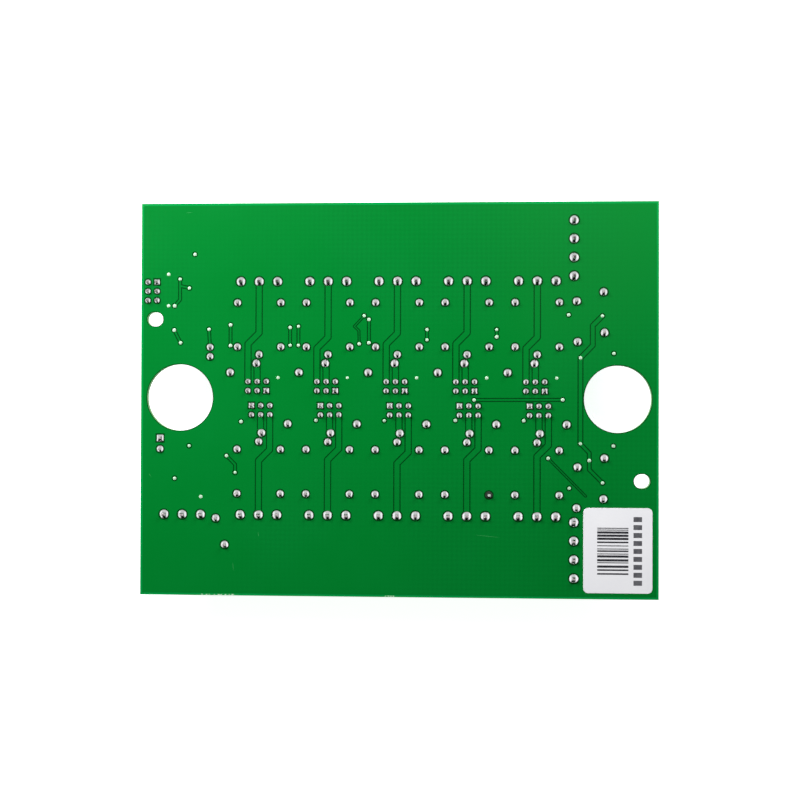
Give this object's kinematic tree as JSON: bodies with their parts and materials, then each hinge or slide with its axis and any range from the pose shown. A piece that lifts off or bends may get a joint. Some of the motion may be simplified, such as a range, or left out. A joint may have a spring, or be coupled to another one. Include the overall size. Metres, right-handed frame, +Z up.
{
  "type": "relay expansion card",
  "caption": "Green printed circuit card with soldered relays, screw terminals and jumpers, lying component side down with its solder joints up.",
  "frame": {"origin": "on the surface that the card lies on, under the middle of the board", "axes": "+X along the board, +Y across it towards the upper terminal row, +Z up out of the soldered side"},
  "size_m": [0.1418, 0.108, 0.0184],
  "materials": {
    "board": "green solder mask over copper on glass-epoxy board",
    "relay_case": "moulded black case with tinned blades",
    "terminal_plastic": "moulded green polyamide",
    "tinned_metal": "bright tin plate",
    "gilt_pins": "thin gold plate",
    "black_plastic": "moulded black plastic",
    "varistor_coating": "dipped blue epoxy over a ceramic disc",
    "capacitor_sleeve": "dark shrink sleeve on an aluminium can",
    "light_lens": "tinted clear lens",
    "chip_plastic": "moulded black package",
    "chip_ceramic": "ceramic chip with tinned ends",
    "label_paper": "white coated label"
  },
  "bodies": {
    "root": {"bus_terminal_lower": "terminal_plastic", "bus_terminal_upper": "terminal_plastic", "bus_transceiver": "chip_plastic", "chip_capacitors": "chip_ceramic", "chip_resistors": "chip_ceramic", "circuit_board": "board", "clamp_diodes": "chip_plastic", "controller_chip": "chip_plastic", "crystal": "tinned_metal", "driver_transistors": "chip_plastic", "header_pins": "gilt_pins", "jumper_header_01": "black_plastic", "jumper_header_02": "black_plastic", "jumper_header_03": "black_plastic", "jumper_header_04": "black_plastic", "jumper_header_05": "black_plastic", "jumper_header_06": "black_plastic", "jumper_header_07": "black_plastic", "jumper_header_08": "black_plastic", "jumper_header_09": "black_plastic", "jumper_header_10": "black_plastic", "jumper_shunts": "black_plastic", "label": "label_paper", "line_varistors": "varistor_coating", "output_terminal_01": "terminal_plastic", "output_terminal_02": "terminal_plastic", "output_terminal_03": "terminal_plastic", "output_terminal_04": "terminal_plastic", "output_terminal_05": "terminal_plastic", "output_terminal_06": "terminal_plastic", "output_terminal_07": "terminal_plastic", "output_terminal_08": "terminal_plastic", "output_terminal_09": "terminal_plastic", "output_terminal_10": "terminal_plastic", "output_varistors": "varistor_coating", "power_light": "light_lens", "programming_header": "black_plastic", "relay_01": "relay_case", "relay_02": "relay_case", "relay_03": "relay_case", "relay_04": "relay_case", "relay_05": "relay_case", "relay_06": "relay_case", "relay_07": "relay_case", "relay_08": "relay_case", "relay_09": "relay_case", "relay_10": "relay_case", "status_lights": "light_lens", "supply_capacitor": "capacitor_sleeve", "supply_terminal": "terminal_plastic", "terminal_clamps": "tinned_metal", "voltage_regulator": "chip_plastic"}
  },
  "joints": []
}
